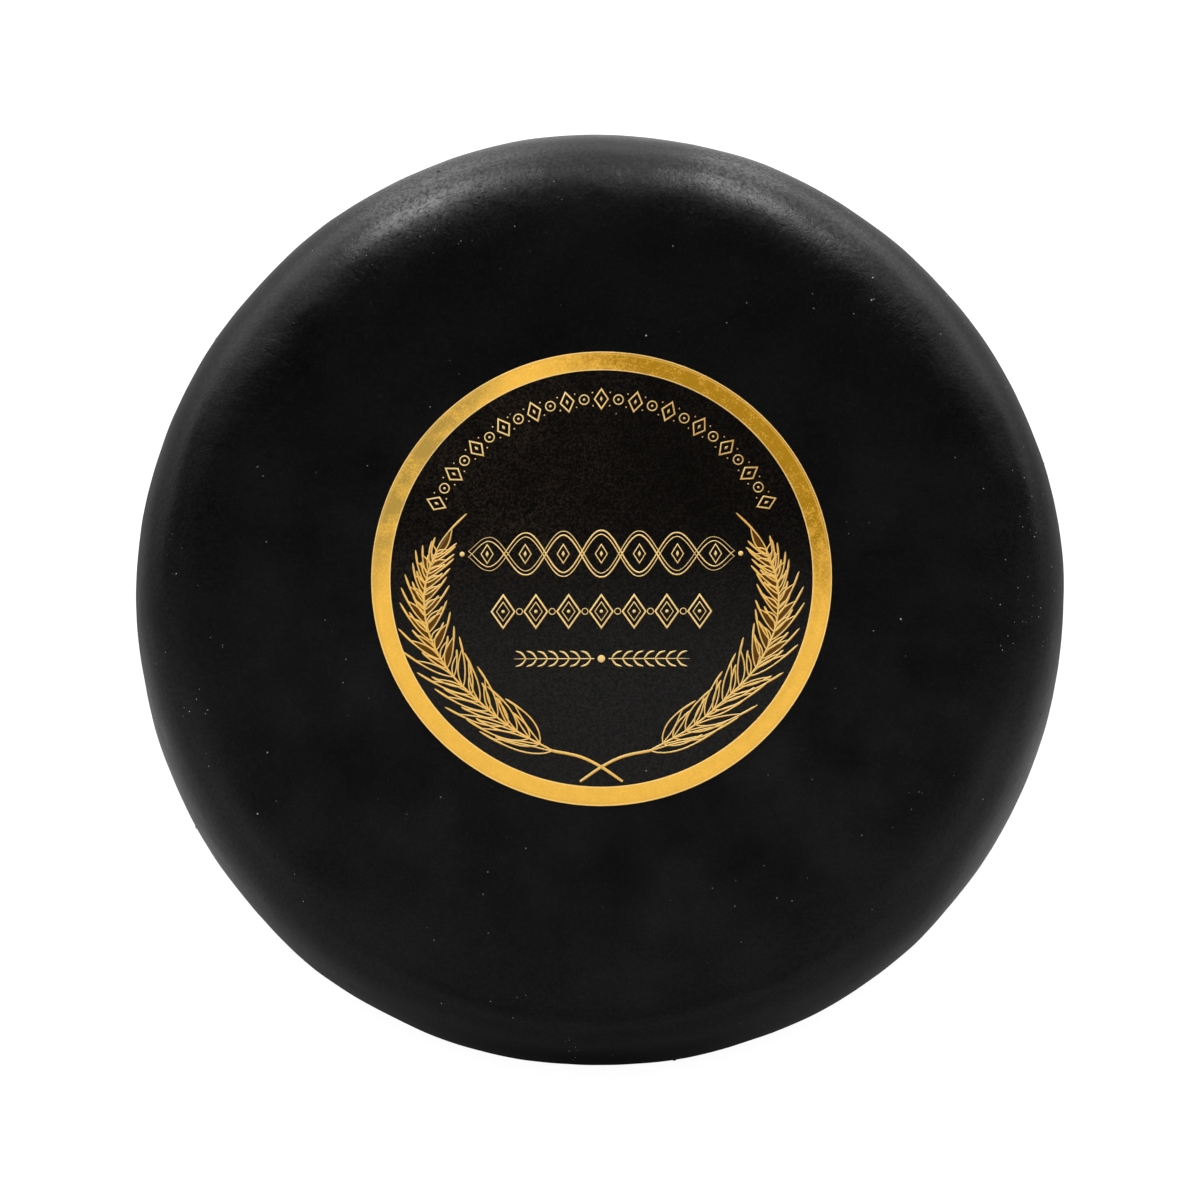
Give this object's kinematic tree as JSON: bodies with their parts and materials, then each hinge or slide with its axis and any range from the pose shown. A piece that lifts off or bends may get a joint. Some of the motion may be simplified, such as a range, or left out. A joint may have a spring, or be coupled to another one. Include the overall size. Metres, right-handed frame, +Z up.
{
  "type": "cheese wheel",
  "caption": "Whole uncut cheese wheel in black wax: a low drum with soft shoulders, lying flat, with a round gold-bordered label on its face.",
  "frame": {"origin": "middle of the flat foot that the wheel rests on, at the bottom centre of its box", "axes": "+Z up through the middle of the labelled face, +Y towards the top of the label, +X towards its right"},
  "size_m": [0.1896, 0.1908, 0.0717],
  "materials": {
    "black_wax": "satin black cheese wax with a fine pebbled skin",
    "black_paper": "matt black printed paper",
    "gold_foil": "satin gold print on the paper label: border, ears of barley and small ornaments"
  },
  "bodies": {
    "root": {"cheese_wheel": "black_wax", "label": "black_paper"}
  },
  "joints": []
}
